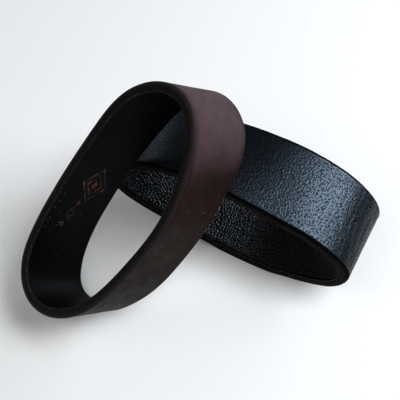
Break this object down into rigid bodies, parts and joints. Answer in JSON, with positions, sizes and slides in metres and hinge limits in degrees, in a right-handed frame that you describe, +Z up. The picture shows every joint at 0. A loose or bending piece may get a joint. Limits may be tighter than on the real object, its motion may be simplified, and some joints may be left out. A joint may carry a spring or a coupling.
{
  "type": "saxophone ligature",
  "caption": "Slip-on leather bands that hold a reed on a saxophone mouthpiece: a pebbled black band lying down and a smooth dark brown band leaning on it.",
  "frame": {"origin": "on the resting plane, under the centre of the pair's bounding box", "axes": "+Z up; the black band's bore runs along Y and its long side along X; -Y is the side that the brown band leans from"},
  "size_m": [0.0424, 0.0352, 0.0336],
  "materials": {
    "black_outer": "fine pebbled black leather with a soft bluish sheen",
    "black_lining": "coarser pebbled black leather, glossier than the outside",
    "black_edge": "dark painted and burnished cut edge",
    "brown_outer": "smooth dark brown leather, satin",
    "brown_lining": "smooth black leather, soft sheen",
    "brown_edge": "dark brown painted and burnished cut edge",
    "core": "thin stiff bonded leather board, matt",
    "foil": "worn copper-coloured foil pressed on the lining"
  },
  "bodies": {
    "black_band": {"black_outer_leather": "black_outer", "black_core": "core", "black_lining_leather": "black_lining", "black_edge_bead_near": "black_edge", "black_edge_bead_far": "black_edge"},
    "brown_band": {"brown_outer_leather": "brown_outer", "brown_core": "core", "brown_lining_leather": "brown_lining", "brown_edge_bead_near": "brown_edge", "brown_edge_bead_far": "brown_edge", "brown_foil_motif_large": "foil", "brown_foil_motif_small": "foil"}
  },
  "joints": [
    {"name": "brown_band_lift_off", "type": "slide", "parent": "black_band", "child": "brown_band", "axis": [0, 0, 1], "range_m": [0, 0.04]}
  ]
}
